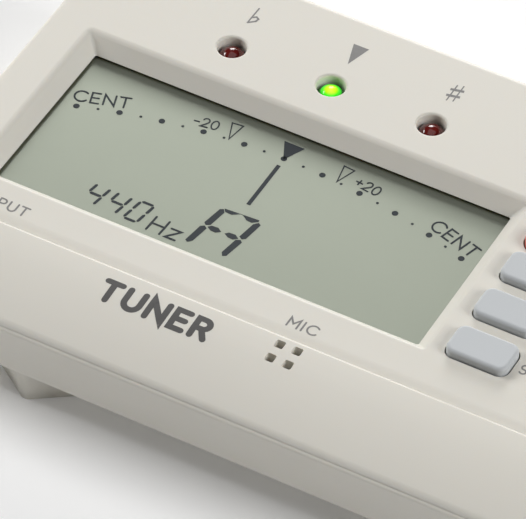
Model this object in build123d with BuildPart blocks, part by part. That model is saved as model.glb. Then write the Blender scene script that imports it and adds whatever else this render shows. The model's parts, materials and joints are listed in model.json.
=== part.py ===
from build123d import *
import os
from math import radians, tan

os.makedirs("parts", exist_ok=True)

# Desk chromatic tuner, millimetres.
# X runs to the right along the width, Y towards the back, Z up.
# The origin is under the middle of the body, on the surface that it stands on.

# ---- driving dimensions: body -------------------------------------------------
WIDTH = 105.0            # outside of the rear case's rim, along X
DEPTH = 72.2             # outside of the rear case's rim, along Y
FACE_Z = 18.0            # top of the frame around the panel
PANEL_DROP = 0.5         # panel lies this far below the frame
CEILING_Z = 15.86        # underside of the front case's plate
SPLIT_Z = 15.36          # lowest edge of the front case's visible side
RIM_Z = 15.3             # top of the rear case's rim
FLOOR_Z = 5.25           # underside of the tray, lifted off the table by the feet
CORNER_R = 5.0
DRAFT = 12.0             # degrees, all rear case walls
LIP = 0.45               # the rear rim stands this far outside the front case
LIP_EDGE_R = 0.5         # rounding of that rim
BAND_FOOT_D = 0.45       # the front band turns down to the split over this depth
BAND_FOOT_H = 0.45       # and this height
REAR_WALL = 1.6
REAR_FLOOR = 1.5
SKIRT_GAP = 0.45         # front case's inner skirt to the rear wall at the rim
SKIRT_WALL = 1.0
SKIRT_Z = 14.2
EDGE_R = 1.3             # rounding of the front case's top edge
PANEL_Z = FACE_Z - PANEL_DROP
SLOPE = tan(radians(DRAFT))

# ---- front case: window, panel, band ------------------------------------------
WINDOW_W = 62.2          # opening at the base of its sloping walls
WINDOW_D = 26.2
WINDOW_X = -12.5         # middle of the window
WINDOW_Y = 0.25
PIT_CORNER_R = 0.5       # rounding of the sloping corners of the window and of the panel's edge
PANEL_X0 = WINDOW_X - WINDOW_W / 2 - (PANEL_Z - CEILING_Z)
PANEL_X1 = 47.5
PANEL_Y0 = -21.4
PANEL_Y1 = WINDOW_Y + WINDOW_D / 2 + (PANEL_Z - CEILING_Z)
BAND_Y = PANEL_Y0 - PANEL_DROP     # the front band starts to curve down here
BAND_END_Z = 15.95
RIM_EDGE_R = 1.3         # rounding where the sloping walls meet the frame
STEP_EDGE_R = 0.35       # the same along the front band, where the edge is crisper
SILL_EDGE_R = 0.8        # rounding where the window's walls meet the panel
BEYOND = 40.0            # how far a pit's unused walls are moved out of the way
ROLL_D = 1.8             # the panel rolls down over this depth before the front band
ROLL_H = 0.35

# ---- lamps, keys, microphone, jack ---------------------------------------------
LED_PITCH = 15.0
LED_X = [WINDOW_X - LED_PITCH, WINDOW_X, WINDOW_X + LED_PITCH]
LED_NAMES = ["led_flat", "led_in_tune", "led_sharp"]
LED_Y = 21.8
LED_R = 1.8
LED_DOME_H = 1.0
LED_HOLE_R = 2.0
LED_HOLE_EDGE_R = 0.35
LED_TOP_Z = 17.4
LED_PIN_SPACING = 1.27
KEY_X = 27.0
KEY_W = 8.7
KEY_TOP_Z = 18.7
KEY_FLANGE = 0.45        # flange under the panel, wider than the key all round
KEY_GAP = 0.2            # key to the edge of its hole
KEY_BASE_Z = 14.6
KEY_TRAVEL = 0.7
# name, middle along Y, size along Y, corner radius
KEYS = [
    ("power", 9.7, 4.4, 2.1),
    ("calib", 3.7, 5.2, 1.3),
    ("note", -3.9, 5.2, 1.3),
    ("sound", -11.5, 5.2, 1.3),
]
MIC_X = 5.45
MIC_Y = -24.45
MIC_HOLE = 1.3
MIC_PITCH = 2.5
MIC_R = 3.0
JACK_Y = -22.0
JACK_Z = 11.2
JACK_BORE_R = 3.25       # 6.35 mm plug
JACK_BUSH_R = 3.9
JACK_X0 = -51.9
JACK_BUSH_L = 8.0
JACK_BODY_X0 = -48.9
JACK_BODY_X1 = -20.0
JACK_BODY_D = 8.8
JACK_BODY_Z0 = 6.8
JACK_BODY_Z1 = 15.2

# ---- board and display ----------------------------------------------------------
BOARD_Z0 = 12.0
BOARD_Z1 = 13.0
BOARD_X = 47.5
BOARD_Y0 = -30.0
BOARD_Y1 = 32.0
BOARD_SCREWS = [(-40.0, 26.0), (40.0, 26.0), (44.0, -1.0), (-12.0, -24.5)]
LCD_TOP_Z = 15.44
LCD_PLATE = 0.75
LCD_X0 = WINDOW_X - WINDOW_W / 2 - 1.2
LCD_X1 = WINDOW_X + WINDOW_W / 2 + 1.2
LCD_LEDGE = 2.2
LCD_REAR_D = WINDOW_D + 1.1
LCD_FRONT_D = LCD_REAR_D + 2 * LCD_LEDGE
LCD_X = (LCD_X0 + LCD_X1) / 2
LCD_W = LCD_X1 - LCD_X0
FRAME_WALL = 1.1
FRAME_GAP = 0.1
MAT_Z1 = 13.8

# ---- battery bay, feet, screws, loudspeaker --------------------------------------
CELL_R = 5.25            # AAA cell
CELL_L = 44.5
CELL_NUB_R = 1.9
CELL_NUB_L = 1.2
CELL_Z = 6.6
CELL_Y = [27.2, 16.4]
CELL_MINUS_X = 21.0      # flat end of each cell, from the middle
BAY_X = 25.5
BAY_Y0 = 10.9
BAY_WALL = 1.4
BAY_Z0 = 1.3
BAY_Z1 = 11.8
HUMP_X = 27.5
HUMP_Y0 = 8.0
COVER_X = 24.4
COVER_Z1 = 1.2
COVER_TONGUE = 0.9
COVER_TONGUE_Z = 0.65
COVER_GAP = 0.1
FOOT_X = 27.8
FOOT_TIP_Y = -33.1
FOOT_HALF_W = 8.0
FOOT_ARM_D = 5.6         # from the tip back to the side corners
FOOT_BACK_Y = -23.5
FOOT_EDGE_R = 1.2
FOOT_DRAFT = 9.0         # degrees
FOOT_TOP_Z = 9.0         # the feet run up into the front wall
SCREWS = [(x, y) for x in (-45.5, 45.5) for y in (-30.2, 29.6)]
BOSS_R = 2.5
BOSS_MEET_Z = 10.0
SCREW_R = 1.0
SCREW_HEAD_R = 1.9
SCREW_HEAD_Z0 = 6.5
SCREW_HEAD_Z1 = 7.7
SCREW_TOP_Z = 14.2
SPEAKER_X = 36.0
SPEAKER_Y = -13.0
SPEAKER_R = 10.0
SPEAKER_Z0 = 6.8
SPEAKER_Z1 = 11.4
MAGNET_R = 5.0
GRILLE_HOLE_R = 0.8
GRILLE_STEP = 2.8
GRILLE_COUNTS = [6, 12]
CONTACT_T = 0.4
CONTACT_HALF = 4.4
LEAF_HALF = 3.2
PILL_Z0 = 13.75
PILL_Z1 = 14.1
KEY_EDGE_R = 0.5
LUG_L = 3.4
FLOOR_EDGE_R = 1.5


def back_wall_y(z):
    """Outside of the rear case's back wall at height z."""
    return DEPTH / 2 - (RIM_Z - z) * SLOPE


def rounded_pit(x0, x1, y0, y1, z0, z1, edge_r):
    """Pit with the given bottom, walls leaning outwards at 45 degrees and a rounded rim at z1."""
    middle = ((x0 + x1) / 2, (y0 + y1) / 2)
    width, depth, height = x1 - x0, y1 - y0, z1 - z0
    with BuildPart() as pit:
        for level, extra in [(z0, 0), (z1, height)]:
            with BuildSketch(Plane.XY.offset(level)):
                with Locations(middle):
                    Rectangle(width + 2 * extra, depth + 2 * extra)
        loft(ruled=True)
        fillet(pit.edges().filter_by(lambda e: abs(e.tangent_at(0).Z) > 0.3), PIT_CORNER_R)
    # the plate around the pit takes the rounding, and what is missing from it is the rounded pit
    plate_size = (width + 8 * height, depth + 8 * height)
    with BuildPart() as plate:
        with BuildSketch(Plane.XY.offset(z0)):
            with Locations(middle):
                Rectangle(*plate_size)
        extrude(amount=height)
        add(pit.part, mode=Mode.SUBTRACT)
        fillet(plate.faces().sort_by(Axis.Z)[-1].inner_wires()[0].edges(), edge_r)
    with BuildPart() as rounded:
        with BuildSketch(Plane.XY.offset(z0)):
            with Locations(middle):
                Rectangle(*plate_size)
        extrude(amount=height)
        add(plate.part, mode=Mode.SUBTRACT)
    return rounded.part


# ================================================================ front case
panel_over_base = PANEL_Z - CEILING_Z
window_x0, window_x1 = WINDOW_X - WINDOW_W / 2, WINDOW_X + WINDOW_W / 2
window_y0, window_y1 = WINDOW_Y - WINDOW_D / 2, WINDOW_Y + WINDOW_D / 2
base_x0, base_x1 = PANEL_X0 + panel_over_base, PANEL_X1 - panel_over_base
base_y0, base_y1 = PANEL_Y0 + panel_over_base, PANEL_Y1 - panel_over_base
window_pit = rounded_pit(window_x0, window_x1, window_y0, window_y1, CEILING_Z, PANEL_Z, SILL_EDGE_R)
side_pit = rounded_pit(base_x0, base_x1, base_y0 - BEYOND, base_y1, CEILING_Z, FACE_Z, RIM_EDGE_R)
front_x0, front_x1 = base_x0 - BEYOND, base_x1 + BEYOND
front_pit = rounded_pit(front_x0, front_x1, base_y0, base_y1 + BEYOND, CEILING_Z, FACE_Z, STEP_EDGE_R)

# the sunken panel with its front edge rolled down, and the display window in it
with BuildPart() as recess:
    with BuildSketch(Plane.XY.offset(PANEL_Z)):
        Rectangle(2 * WIDTH, 2 * DEPTH)
    extrude(amount=PANEL_DROP)
    add(window_pit)
    with BuildSketch(Plane.YZ):
        with BuildLine():
            roll = TangentArc((PANEL_Y0 + ROLL_D, PANEL_Z), (PANEL_Y0, PANEL_Z - ROLL_H), tangent=(-1, 0))
            Polyline(roll @ 1, (PANEL_Y0, PANEL_Z + 0.05), (PANEL_Y0 + ROLL_D, PANEL_Z + 0.05), roll @ 0)
        make_face()
    extrude(amount=WIDTH, both=True)
    add(side_pit, mode=Mode.INTERSECT)
    add(front_pit, mode=Mode.INTERSECT)

with BuildPart() as front_case:
    with BuildSketch(Plane.XY.offset(SPLIT_Z)):
        RectangleRounded(WIDTH - 2 * LIP, DEPTH - 2 * LIP, CORNER_R - LIP)
    extrude(amount=FACE_Z - SPLIT_Z)

    # the front band falls away in one long arc, level where it leaves the frame, and turns down at its foot
    front_y = -DEPTH / 2 + LIP
    foot_z = BAND_END_Z - BAND_FOOT_H
    clear_y = front_y - 1
    clear_z = FACE_Z + 1
    with BuildSketch(Plane.YZ):
        with BuildLine():
            band = TangentArc((BAND_Y, FACE_Z), (front_y + BAND_FOOT_D, BAND_END_Z), tangent=(-1, 0))
            foot = TangentArc(band @ 1, (front_y, foot_z), tangent=band % 1)
            Polyline(foot @ 1, (clear_y, foot_z), (clear_y, clear_z), (BAND_Y, clear_z), band @ 0)
        make_face()
    extrude(amount=WIDTH, both=True, mode=Mode.SUBTRACT)

    top_edges = front_case.edges().filter_by(lambda e: e.center().Z > SPLIT_Z + 0.2)
    outer_top = top_edges.filter_by(lambda e: e.length > 1.0).filter_by(Axis.Z, reverse=True)
    side_x = WIDTH / 2 - LIP - CORNER_R
    rounded = outer_top.filter_by(lambda e: e.center().Z > BAND_END_Z + 0.1)
    fillet(rounded.filter_by(lambda e: abs(e.center().X) > side_x or e.center().Y > 30), EDGE_R)

    add(recess.part, mode=Mode.SUBTRACT)

    # space above the board
    cavity_y0 = -31.0
    cavity_y1 = DEPTH / 2 - REAR_WALL - SKIRT_GAP - SKIRT_WALL
    with BuildSketch(Plane.XY.offset(SPLIT_Z)):
        with Locations((0, (cavity_y0 + cavity_y1) / 2)):
            skirt_in_w = WIDTH - 2 * (REAR_WALL + SKIRT_GAP + SKIRT_WALL)
            RectangleRounded(skirt_in_w, cavity_y1 - cavity_y0, 2.0)
    extrude(amount=CEILING_Z - SPLIT_Z, mode=Mode.SUBTRACT)

    # skirt inside the rear case, seen as the bottom of the parting groove
    with BuildSketch(Plane.XY.offset(SKIRT_Z)):
        skirt_inset = REAR_WALL + SKIRT_GAP
        RectangleRounded(WIDTH - 2 * skirt_inset, DEPTH - 2 * skirt_inset, CORNER_R - skirt_inset)
        offset(amount=-SKIRT_WALL, mode=Mode.SUBTRACT, kind=Kind.INTERSECTION)
        with Locations((-WIDTH / 2, JACK_Y)):
            Rectangle(12, JACK_BODY_D + 1.2, mode=Mode.SUBTRACT)
    extrude(amount=SPLIT_Z - SKIRT_Z)

    # screw posts, and short posts for the board
    with BuildSketch(Plane.XY.offset(BOSS_MEET_Z)):
        with Locations(*SCREWS):
            Circle(BOSS_R)
            Circle(SCREW_R + 0.02, mode=Mode.SUBTRACT)
    extrude(amount=CEILING_Z - BOSS_MEET_Z)
    with BuildSketch(Plane.XY.offset(BOARD_Z1)):
        with Locations(*BOARD_SCREWS):
            Circle(2.2)
            Circle(0.82, mode=Mode.SUBTRACT)
    extrude(amount=CEILING_Z - BOARD_Z1)

    # lamp holes
    with BuildSketch(Plane.XY.offset(CEILING_Z - 1)):
        with Locations(*[(x, LED_Y) for x in LED_X]):
            Circle(LED_HOLE_R)
    extrude(amount=4, mode=Mode.SUBTRACT)
    lamp_rims = front_case.edges().filter_by(GeomType.CIRCLE).filter_by(lambda e: e.radius == LED_HOLE_R)
    fillet(lamp_rims.group_by(Axis.Z)[-1], LED_HOLE_EDGE_R)

    # key holes
    for name, key_y, key_d, key_r in KEYS:
        with BuildSketch(Plane.XY.offset(CEILING_Z - 1)):
            with Locations((KEY_X, key_y)):
                RectangleRounded(KEY_W + 2 * KEY_GAP, key_d + 2 * KEY_GAP, key_r + KEY_GAP)
        extrude(amount=4, mode=Mode.SUBTRACT)

    # four square sound holes
    with BuildSketch(Plane.XY.offset(CEILING_Z - 1)):
        with Locations((MIC_X, MIC_Y)):
            with GridLocations(MIC_PITCH, MIC_PITCH, 2, 2):
                RectangleRounded(MIC_HOLE, MIC_HOLE, 0.25)
    extrude(amount=4, mode=Mode.SUBTRACT)
front_case.part.label = "front_case"
export_step(front_case.part, "parts/front_case.step")


# ================================================================ rear case
with BuildPart() as rear_case:
    # drafted tray
    with BuildSketch(Plane.XY.offset(RIM_Z)):
        RectangleRounded(WIDTH, DEPTH, CORNER_R)
    extrude(amount=-(RIM_Z - FLOOR_Z), taper=DRAFT)
    fillet(rear_case.faces().sort_by(Axis.Z)[0].edges(), FLOOR_EDGE_R)
    fillet(rear_case.faces().sort_by(Axis.Z)[-1].edges(), LIP_EDGE_R)

    # battery hump below the floor, flush with the back wall
    hump_y1 = back_wall_y(FLOOR_Z + 1)
    with BuildSketch(Plane.XY.offset(FLOOR_Z + 1)):
        with Locations((0, (HUMP_Y0 + hump_y1) / 2)):
            RectangleRounded(2 * HUMP_X, hump_y1 - HUMP_Y0, 2.0)
    extrude(amount=-(FLOOR_Z + 1), taper=DRAFT)

    # two feet, pointed towards the front
    with BuildSketch(Plane.XY):
        with Locations((-FOOT_X, 0), (FOOT_X, 0)):
            Polygon(
                (0, FOOT_TIP_Y),
                (FOOT_HALF_W, FOOT_TIP_Y + FOOT_ARM_D),
                (FOOT_HALF_W, FOOT_BACK_Y),
                (-FOOT_HALF_W, FOOT_BACK_Y),
                (-FOOT_HALF_W, FOOT_TIP_Y + FOOT_ARM_D),
                align=None,
            )
        fillet(vertices(), FOOT_EDGE_R)
    extrude(amount=FOOT_TOP_Z, taper=-FOOT_DRAFT)

    # inside of the tray
    with BuildSketch(Plane.XY.offset(RIM_Z)):
        RectangleRounded(WIDTH - 2 * REAR_WALL, DEPTH - 2 * REAR_WALL, CORNER_R - REAR_WALL)
    extrude(amount=-(RIM_Z - FLOOR_Z - REAR_FLOOR), taper=DRAFT, mode=Mode.SUBTRACT)

    # walls of the battery bay, then the bay itself
    bay_out_y0 = BAY_Y0 - BAY_WALL
    bay_out_y1 = back_wall_y(FLOOR_Z + REAR_FLOOR) - 0.5
    with BuildSketch(Plane.XY.offset(FLOOR_Z + 0.5)):
        with Locations((0, (bay_out_y0 + bay_out_y1) / 2)):
            Rectangle(2 * (BAY_X + BAY_WALL), bay_out_y1 - bay_out_y0)
    extrude(amount=BAY_Z1 - FLOOR_Z - 0.5)
    with BuildSketch(Plane.YZ):
        Polygon(
            (BAY_Y0, BAY_Z0),
            (back_wall_y(BAY_Z0) - BAY_WALL, BAY_Z0),
            (back_wall_y(BAY_Z1) - BAY_WALL, BAY_Z1),
            (BAY_Y0, BAY_Z1),
            align=None,
        )
    extrude(amount=BAY_X, both=True, mode=Mode.SUBTRACT)

    # the cover's opening and its two grooves, both open to the back
    cover_y0 = BAY_Y0
    with BuildSketch(Plane.XY):
        with Locations((0, cover_y0 + DEPTH / 2)):
            Rectangle(2 * (COVER_X + COVER_GAP), DEPTH)
    extrude(amount=BAY_Z0, mode=Mode.SUBTRACT)
    with BuildSketch(Plane.XY.offset(COVER_TONGUE_Z - COVER_GAP)):
        with Locations((0, cover_y0 + DEPTH / 2)):
            Rectangle(2 * (COVER_X + COVER_TONGUE + COVER_GAP), DEPTH)
    extrude(amount=BAY_Z0 - COVER_TONGUE_Z + COVER_GAP, mode=Mode.SUBTRACT)

    # hole for the input jack's bush in the left wall
    with BuildSketch(Plane.YZ.offset(-WIDTH / 2 - 1)):
        with Locations((JACK_Y, JACK_Z)):
            Circle(JACK_BUSH_R + 0.15)
    extrude(amount=10, mode=Mode.SUBTRACT)

    # screw bosses with counterbores from below
    with BuildSketch(Plane.XY.offset(FLOOR_Z + 0.5)):
        with Locations(*SCREWS):
            Circle(BOSS_R + 0.2)
    extrude(amount=BOSS_MEET_Z - 0.02 - FLOOR_Z - 0.5)
    with BuildSketch(Plane.XY.offset(FLOOR_Z - 1)):
        with Locations(*SCREWS):
            Circle(SCREW_HEAD_R + 0.2)
    extrude(amount=SCREW_HEAD_Z1 + 0.02 - FLOOR_Z + 1, mode=Mode.SUBTRACT)
    with BuildSketch(Plane.XY.offset(FLOOR_Z)):
        with Locations(*SCREWS):
            Circle(SCREW_R + 0.15)
    extrude(amount=FLOOR_Z, mode=Mode.SUBTRACT)

    # sound outlet under the loudspeaker
    with BuildSketch(Plane.XY.offset(FLOOR_Z - 1)):
        with Locations((SPEAKER_X, SPEAKER_Y)):
            Circle(GRILLE_HOLE_R)
            for ring, count in enumerate(GRILLE_COUNTS, start=1):
                with PolarLocations(ring * GRILLE_STEP, count):
                    Circle(GRILLE_HOLE_R)
    extrude(amount=REAR_FLOOR + 2, mode=Mode.SUBTRACT)
rear_case.part.label = "rear_case"
export_step(rear_case.part, "parts/rear_case.step")


# ================================================================ battery cover
cover_back_y0 = back_wall_y(0)
cover_back_y1 = back_wall_y(COVER_Z1)
with BuildPart() as battery_cover:
    with BuildSketch(Plane.YZ):
        Polygon(
            (cover_y0 + COVER_GAP, 0),
            (cover_back_y0, 0),
            (cover_back_y1, COVER_Z1),
            (cover_y0 + COVER_GAP, COVER_Z1),
            align=None,
        )
    extrude(amount=COVER_X, both=True)
    with BuildSketch(Plane.XY.offset(COVER_TONGUE_Z)):
        with Locations((0, (cover_y0 + COVER_GAP + cover_back_y0 - 2) / 2)):
            Rectangle(2 * (COVER_X + COVER_TONGUE), cover_back_y0 - 2 - cover_y0 - COVER_GAP)
    extrude(amount=COVER_Z1 - COVER_TONGUE_Z)
    with BuildSketch(Plane.XY):
        with Locations((0, cover_back_y0 - 6)):
            with GridLocations(1, 1.8, 1, 5):
                SlotOverall(14, 0.9)
    extrude(amount=0.4, mode=Mode.SUBTRACT)
battery_cover.part.label = "battery_cover"
export_step(battery_cover.part, "parts/battery_cover.step")


# ================================================================ battery cells and contacts
for number, cell_y in enumerate(CELL_Y, start=1):
    heading = 1 if number == 1 else -1
    with BuildPart() as cell:
        with BuildSketch(Plane.YZ.offset(-heading * CELL_MINUS_X)):
            with Locations((cell_y, CELL_Z)):
                Circle(CELL_R)
        extrude(amount=heading * (CELL_L - CELL_NUB_L))
        fillet(cell.edges().filter_by(GeomType.CIRCLE), 0.5)
        with BuildSketch(Plane.YZ.offset(heading * (CELL_L - CELL_MINUS_X))):
            with Locations((cell_y, CELL_Z)):
                Circle(CELL_NUB_R)
        extrude(amount=-heading * (CELL_NUB_L + 0.3))
    cell.part.label = f"battery_cell_{number}"
    export_step(cell.part, f"parts/battery_cell_{number}.step")


def contact_plate(side, y_low, y_high):
    """Flat plate against a bay end wall, with a tab up to the board."""
    with BuildPart() as plate:
        with BuildSketch(Plane.YZ.offset(side * (BAY_X - CONTACT_T))):
            with Locations(((y_low + y_high) / 2, CELL_Z)):
                Rectangle(y_high - y_low, 2 * CONTACT_HALF)
            with Locations(((y_low + y_high) / 2, BOARD_Z0 - 1.2)):
                Rectangle(3, 2.4)
        extrude(amount=side * CONTACT_T)
    return plate.part


def spring_leaf(side, cell_y):
    """Bent leaf that presses on the flat end of a cell."""
    root_x = side * (BAY_X - CONTACT_T)
    tip_x = side * (CELL_MINUS_X + 0.05)
    with BuildPart() as leaf:
        with BuildSketch(Plane.XZ.offset(-cell_y)):
            Polygon(
                (root_x, CELL_Z + LEAF_HALF),
                (tip_x, CELL_Z),
                (root_x, CELL_Z - LEAF_HALF),
                (root_x, CELL_Z - LEAF_HALF + 0.5),
                (tip_x + side * 0.5, CELL_Z),
                (root_x, CELL_Z + LEAF_HALF - 0.5),
                align=None,
            )
        extrude(amount=2.5, both=True)
    return leaf.part


def dimple(side, cell_y):
    """Raised round that meets the nub of a cell."""
    reach = BAY_X - CONTACT_T - (CELL_L - CELL_MINUS_X) - 0.02
    with BuildPart() as bump:
        with BuildSketch(Plane.YZ.offset(side * (BAY_X - CONTACT_T))):
            with Locations((cell_y, CELL_Z)):
                Circle(2.4)
        extrude(amount=-side * reach)
    return bump.part


right_plus_plate = contact_plate(1, CELL_Y[0] - CONTACT_HALF, CELL_Y[0] + CONTACT_HALF)
right_plus_dimple = dimple(1, CELL_Y[0])
with BuildPart() as battery_terminal_positive:
    add(right_plus_plate)
    add(right_plus_dimple)
battery_terminal_positive.part.label = "battery_terminal_positive"
export_step(battery_terminal_positive.part, "parts/battery_terminal_positive.step")

right_minus_plate = contact_plate(1, CELL_Y[1] - CONTACT_HALF, CELL_Y[1] + CONTACT_HALF)
right_minus_leaf = spring_leaf(1, CELL_Y[1])
with BuildPart() as battery_terminal_negative:
    add(right_minus_plate)
    add(right_minus_leaf)
battery_terminal_negative.part.label = "battery_terminal_negative"
export_step(battery_terminal_negative.part, "parts/battery_terminal_negative.step")

left_plate = contact_plate(-1, CELL_Y[1] - CONTACT_HALF, CELL_Y[0] + CONTACT_HALF)
left_leaf = spring_leaf(-1, CELL_Y[0])
left_dimple = dimple(-1, CELL_Y[1])
with BuildPart() as battery_link:
    add(left_plate)
    add(left_leaf)
    add(left_dimple)
battery_link.part.label = "battery_link"
export_step(battery_link.part, "parts/battery_link.step")


# ================================================================ main board
with BuildPart() as main_board:
    with BuildSketch(Plane.XY.offset(BOARD_Z0)):
        with Locations((0, (BOARD_Y0 + BOARD_Y1) / 2)):
            Rectangle(2 * BOARD_X, BOARD_Y1 - BOARD_Y0)
        with Locations(*SCREWS):
            Circle(BOSS_R + 0.6, mode=Mode.SUBTRACT)
        for corner_x, corner_y in SCREWS:
            with Locations((corner_x * 1.06, corner_y * 1.1)):
                Rectangle(2 * (BOSS_R + 0.6), 2 * (BOSS_R + 0.6), mode=Mode.SUBTRACT)
        with Locations(((-BOARD_X - 5 + JACK_BODY_X1 + 0.5) / 2, (BOARD_Y0 - 1 + JACK_Y + 5) / 2)):
            notch_w = JACK_BODY_X1 + 0.5 + BOARD_X + 5
            Rectangle(notch_w, JACK_Y + 5 - BOARD_Y0 + 1, mode=Mode.SUBTRACT)
        with Locations(*BOARD_SCREWS):
            Circle(1.1, mode=Mode.SUBTRACT)
        with Locations(*[(x, LED_Y) for x in LED_X]):
            with GridLocations(2 * LED_PIN_SPACING, 1, 2, 1):
                Circle(0.4, mode=Mode.SUBTRACT)
    extrude(amount=BOARD_Z1 - BOARD_Z0)
main_board.part.label = "main_board"
export_step(main_board.part, "parts/main_board.step")

with BuildPart() as board_screws:
    with BuildSketch(Plane.XY.offset(BOARD_Z0 - 0.9)):
        with Locations(*BOARD_SCREWS):
            Circle(1.6)
    extrude(amount=0.88)
    with BuildSketch(Plane.XY.offset(BOARD_Z0 - 0.5)):
        with Locations(*BOARD_SCREWS):
            Circle(0.8)
    extrude(amount=3.8)
board_screws.part.label = "board_screws"
export_step(board_screws.part, "parts/board_screws.step")


# ================================================================ display
with BuildPart() as display_front_glass:
    with BuildSketch(Plane.XY.offset(LCD_TOP_Z - LCD_PLATE)):
        with Locations((LCD_X, WINDOW_Y)):
            Rectangle(LCD_W, LCD_FRONT_D)
    extrude(amount=LCD_PLATE)
display_front_glass.part.label = "display_front_glass"
export_step(display_front_glass.part, "parts/display_front_glass.step")

with BuildPart() as display_rear_glass:
    with BuildSketch(Plane.XY.offset(LCD_TOP_Z - 2 * LCD_PLATE)):
        with Locations((LCD_X, WINDOW_Y)):
            Rectangle(LCD_W, LCD_REAR_D)
    extrude(amount=LCD_PLATE)
display_rear_glass.part.label = "display_rear_glass"
export_step(display_rear_glass.part, "parts/display_rear_glass.step")

with BuildPart() as display_reflector:
    with BuildSketch(Plane.XY.offset(LCD_TOP_Z - 2 * LCD_PLATE - 0.15)):
        with Locations((LCD_X, WINDOW_Y)):
            Rectangle(LCD_W - 0.4, LCD_REAR_D - 0.4)
    extrude(amount=0.15)
display_reflector.part.label = "display_reflector"
export_step(display_reflector.part, "parts/display_reflector.step")

with BuildPart() as display_frame:
    with BuildSketch(Plane.XY.offset(BOARD_Z1)):
        with Locations((LCD_X, WINDOW_Y)):
            frame_in_w = LCD_W + 2 * FRAME_GAP
            frame_in_d = LCD_FRONT_D + 2 * FRAME_GAP
            RectangleRounded(frame_in_w + 2 * FRAME_WALL, frame_in_d + 2 * FRAME_WALL, 1.0)
            Rectangle(frame_in_w, frame_in_d, mode=Mode.SUBTRACT)
    extrude(amount=CEILING_Z - 0.06 - BOARD_Z1)
display_frame.part.label = "display_frame"
export_step(display_frame.part, "parts/display_frame.step")

ledge_y = (LCD_REAR_D + LCD_LEDGE) / 2 + 0.05
for name, strip_y in [("front", WINDOW_Y - ledge_y), ("back", WINDOW_Y + ledge_y)]:
    with BuildPart() as strip:
        with BuildSketch(Plane.XY.offset(BOARD_Z1)):
            with Locations((LCD_X, strip_y)):
                Rectangle(LCD_W - 1, LCD_LEDGE - 0.5)
        extrude(amount=LCD_TOP_Z - LCD_PLATE - BOARD_Z1)
    strip.part.label = f"display_connector_{name}"
    export_step(strip.part, f"parts/display_connector_{name}.step")


# ================================================================ lamps
for name, led_x in zip(LED_NAMES, LED_X):
    with BuildPart() as led:
        with BuildSketch(Plane.XZ.offset(-LED_Y)):
            with BuildLine():
                dome_z = LED_TOP_Z - LED_DOME_H
                Polyline(
                    (led_x, LED_TOP_Z),
                    (led_x, BOARD_Z1),
                    (led_x + LED_R + 0.35, BOARD_Z1),
                    (led_x + LED_R + 0.35, BOARD_Z1 + 0.8),
                    (led_x + LED_R, BOARD_Z1 + 0.8),
                    (led_x + LED_R, dome_z),
                )
                TangentArc((led_x, LED_TOP_Z), (led_x + LED_R, dome_z), tangent=(1, 0))
            make_face()
        revolve(axis=Axis((led_x, LED_Y, 0), (0, 0, 1)))
        with BuildSketch(Plane.XY.offset(BOARD_Z0 - 0.15)):
            with Locations((led_x, LED_Y)):
                with GridLocations(2 * LED_PIN_SPACING, 1, 2, 1):
                    Rectangle(0.45, 0.45)
        extrude(amount=BOARD_Z1 - BOARD_Z0 + 0.35)
    led.part.label = name
    export_step(led.part, f"parts/{name}.step")


# ================================================================ rubber keypad
with BuildPart() as keypad_mat:
    mat_x0 = LCD_X1 + FRAME_GAP + FRAME_WALL + 0.3
    mat_x1 = KEY_X + KEY_W / 2 + 3
    mat_y0 = KEYS[3][1] - KEYS[3][2] / 2 - 2
    mat_y1 = KEYS[0][1] + KEYS[0][2] / 2 + 2
    with BuildSketch(Plane.XY.offset(BOARD_Z1)):
        with Locations(((mat_x0 + mat_x1) / 2, (mat_y0 + mat_y1) / 2)):
            RectangleRounded(mat_x1 - mat_x0, mat_y1 - mat_y0, 1.0)
        for name, key_y, key_d, key_r in KEYS:
            with Locations((KEY_X, key_y)):
                Rectangle(KEY_W, key_d, mode=Mode.SUBTRACT)
    extrude(amount=MAT_Z1 - BOARD_Z1)
keypad_mat.part.label = "keypad_mat"
export_step(keypad_mat.part, "parts/keypad_mat.step")

for name, key_y, key_d, key_r in KEYS:
    with BuildPart() as key:
        with BuildSketch(Plane.XY.offset(KEY_BASE_Z)):
            with Locations((KEY_X, key_y)):
                RectangleRounded(KEY_W, key_d, key_r)
        extrude(amount=KEY_TOP_Z - KEY_BASE_Z)
        fillet(key.faces().sort_by(Axis.Z)[-1].edges(), KEY_EDGE_R)
        with BuildSketch(Plane.XY.offset(KEY_BASE_Z)):
            with Locations((KEY_X, key_y)):
                Rectangle(KEY_W + 2 * KEY_FLANGE, key_d + 2 * KEY_FLANGE)
        extrude(amount=0.8)
        with BuildSketch(Plane.XY.offset(PILL_Z1)):
            with Locations((KEY_X, key_y)):
                Rectangle(KEY_W - 2.8, key_d - 1.6)
        extrude(amount=KEY_BASE_Z - PILL_Z1)
    key.part.label = f"key_{name}"
    export_step(key.part, f"parts/key_{name}.step")

    with BuildPart() as pill:
        with BuildSketch(Plane.XY.offset(PILL_Z0)):
            with Locations((KEY_X, key_y)):
                Rectangle(KEY_W - 3.2, key_d - 2.0)
        extrude(amount=PILL_Z1 - PILL_Z0)
    pill.part.label = f"key_pill_{name}"
    export_step(pill.part, f"parts/key_pill_{name}.step")

    with BuildPart() as web:
        with BuildSketch(Plane.XY.offset(MAT_Z1)):
            with Locations((KEY_X, key_y)):
                Rectangle(KEY_W + 2 * KEY_FLANGE, key_d + 2 * KEY_FLANGE)
                Rectangle(KEY_W + 0.2, key_d + 0.2, mode=Mode.SUBTRACT)
        extrude(amount=KEY_BASE_Z - MAT_Z1)
    web.part.label = f"key_web_{name}"
    export_step(web.part, f"parts/key_web_{name}.step")


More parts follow.
